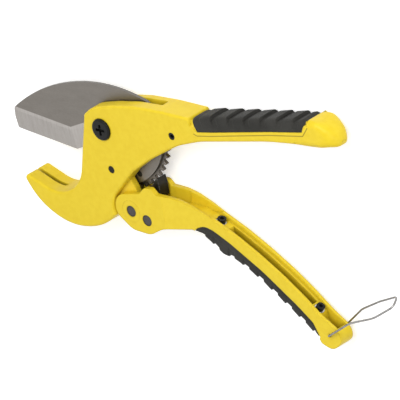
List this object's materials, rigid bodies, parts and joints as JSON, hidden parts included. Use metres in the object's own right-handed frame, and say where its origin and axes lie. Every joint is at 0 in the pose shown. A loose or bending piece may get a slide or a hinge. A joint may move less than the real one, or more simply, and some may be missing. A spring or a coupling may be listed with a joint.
{
  "type": "pvc pipe cutter",
  "caption": "Ratchet pipe cutter with a hooked jaw, a broad ground blade on a bolt, a toothed ratchet plate driven by a pawl, two gripped handles and a wire bail.",
  "frame": {"origin": "on the blade pivot's axis, at the casting's far side face that the tool lies on", "axes": "+X from the blade towards the upper handle's end, +Y up from the hook jaw towards the blade's back, +Z from the side face it lies on towards the side with the bolt's head"},
  "size_m": [0.2913, 0.1523, 0.0216],
  "materials": {
    "yellow_enamel": "semi-gloss enamel over a casting",
    "ground_steel": "ground steel",
    "plate_steel": "stamped steel",
    "dark_steel": "black oxide",
    "spring_steel": "bright spring wire",
    "pin_steel": "phosphated steel",
    "grip_rubber": "matt moulded rubber",
    "plated_steel": "zinc-plated steel"
  },
  "bodies": {
    "frame": {"body_casting": "yellow_enamel", "upper_grip": "grip_rubber", "upper_grip_screws": "dark_steel", "upper_grip_washers": "plated_steel", "pivot_bolt": "dark_steel", "pivot_bush": "plated_steel", "stop_pin": "dark_steel", "spring_pin": "dark_steel", "blade_spring": "spring_steel", "holding_pawl_spring": "spring_steel"},
    "cutter": {"blade": "ground_steel", "ratchet_plate": "plate_steel", "blade_rivets": "pin_steel"},
    "lower_lever": {"lower_handle": "yellow_enamel", "lower_grip": "grip_rubber", "lower_grip_screws": "dark_steel", "lower_grip_washers": "plated_steel", "handle_pin": "pin_steel", "pawl_pin": "pin_steel", "handle_pin_washers": "yellow_enamel", "pawl_spacer": "plated_steel", "pawl_spring": "spring_steel"},
    "drive_pawl": {"drive_pawl": "dark_steel"},
    "holding_pawl": {"holding_pawl": "plate_steel"},
    "bail": {"wire_bail": "spring_steel"}
  },
  "joints": [
    {"name": "blade_pivot", "type": "hinge", "parent": "frame", "child": "cutter", "pos_m": [0, 0, 0.0096], "axis": [0, 0, 1], "range_deg": [-38, 30], "deforming": ["blade_spring"]},
    {"name": "handle_pivot", "type": "hinge", "parent": "frame", "child": "lower_lever", "pos_m": [0.0126, -0.0522, 0.01], "axis": [0, 0, 1], "range_deg": [0, 26]},
    {"name": "drive_pawl_pivot", "type": "hinge", "parent": "lower_lever", "child": "drive_pawl", "pos_m": [0.0246, -0.0564, 0.0086], "axis": [0, 0, 1], "range_deg": [-34, 0], "deforming": ["pawl_spring"]},
    {"name": "holding_pawl_pivot", "type": "hinge", "parent": "frame", "child": "holding_pawl", "pos_m": [0.0126, -0.0522, 0.0073], "axis": [0, 0, 1], "range_deg": [-6, 0], "deforming": ["holding_pawl_spring"]},
    {"name": "bail_pivot", "type": "hinge", "parent": "lower_lever", "child": "bail", "pos_m": [0.1572, -0.111, 0.01], "axis": [0, 0, 1], "range_deg": [-100, 80]}
  ],
  "couplings": [
    {"joint": "drive_pawl_pivot", "follows": "handle_pivot", "ratio": -1.29}
  ]
}
